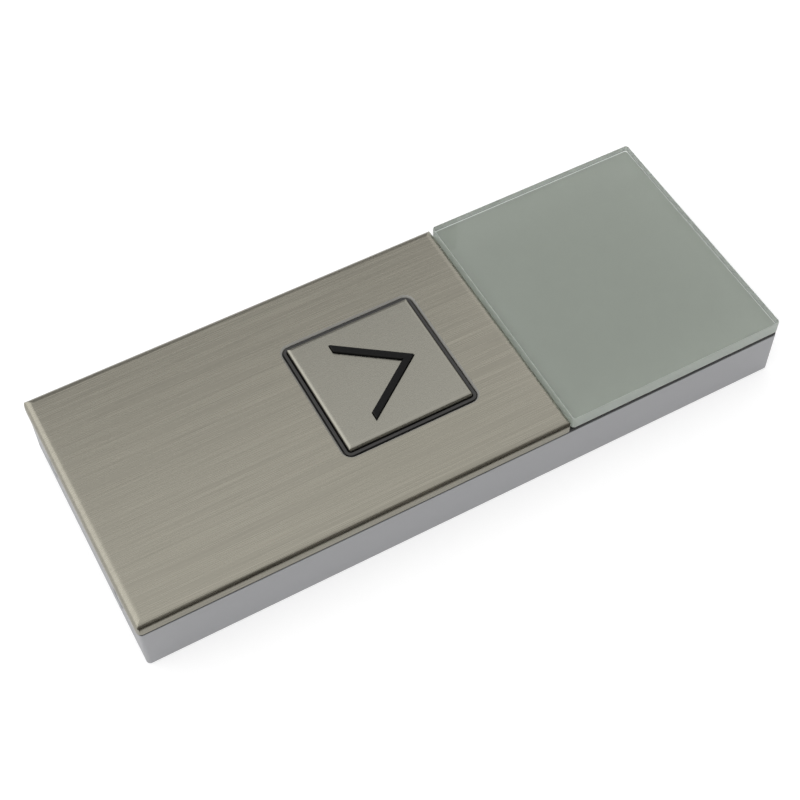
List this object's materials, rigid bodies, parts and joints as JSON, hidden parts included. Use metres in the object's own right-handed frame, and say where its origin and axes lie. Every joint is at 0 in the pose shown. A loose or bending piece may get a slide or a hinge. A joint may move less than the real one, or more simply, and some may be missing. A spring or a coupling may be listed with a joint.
{
  "type": "elevator call button panel",
  "caption": "Flat landing call panel: satin tray, brushed steel face with a square push button and a raised arrow, and a glass tile above it.",
  "frame": {"origin": "middle of the back face, where the panel meets the wall", "axes": "+X to the right seen from the front, +Y up along the panel's length, +Z out of the front"},
  "size_m": [0.0708, 0.1762, 0.0212],
  "materials": {
    "tray_aluminium": "satin anodised",
    "rubber": "matte black",
    "black_plastic": "matte black moulding",
    "face_steel": "brushed along its length",
    "cap_steel": "fine matte brush",
    "fastener_steel": "zinc plated",
    "painted_glass": "clear glass painted grey green on its back",
    "tape": "foam bonding tape",
    "smoked_plastic": "smoked translucent",
    "arrow_plastic": "dark translucent",
    "clear_plastic": "milky translucent",
    "white_plastic": "white moulding",
    "ivory_plastic": "ivory moulding",
    "board": "green solder mask",
    "light": "pale phosphor",
    "brass": "gold flashed",
    "can_aluminium": "bright can"
  },
  "bodies": {
    "panel": {"housing": "tray_aluminium", "cable_grommet": "rubber", "front_frame": "black_plastic", "face_plate": "face_steel", "weld_studs": "fastener_steel", "stud_washers": "fastener_steel", "stud_nuts": "fastener_steel", "glass_tile": "painted_glass", "glass_tape": "tape", "halo_ring": "smoked_plastic", "button_housing": "white_plastic", "return_springs": "fastener_steel", "circuit_board": "board", "switch_body": "black_plastic", "halo_lights": "light", "arrow_lights": "light", "bus_connectors": "white_plastic", "connector_pins": "brass", "controller_chip": "black_plastic", "sounder": "black_plastic", "capacitors": "can_aluminium", "board_screws": "fastener_steel", "locking_screws": "fastener_steel"},
    "button": {"button_cap": "cap_steel", "cap_tape": "tape", "arrow_lens": "arrow_plastic", "button_plunger": "clear_plastic", "retaining_clips": "fastener_steel"},
    "stem": {"switch_stem": "ivory_plastic"}
  },
  "joints": [
    {"name": "button_travel", "type": "slide", "parent": "panel", "child": "button", "axis": [0, 0, -1], "range_m": [0, 0.001], "stiffness_N_per_m": 1500, "springref_m": -0.0015, "deforming": ["return_springs"]},
    {"name": "stem_travel", "type": "slide", "parent": "panel", "child": "stem", "axis": [0, 0, -1], "range_m": [0, 0.001]}
  ],
  "couplings": [
    {"joint": "stem_travel", "follows": "button_travel", "ratio": 1}
  ]
}
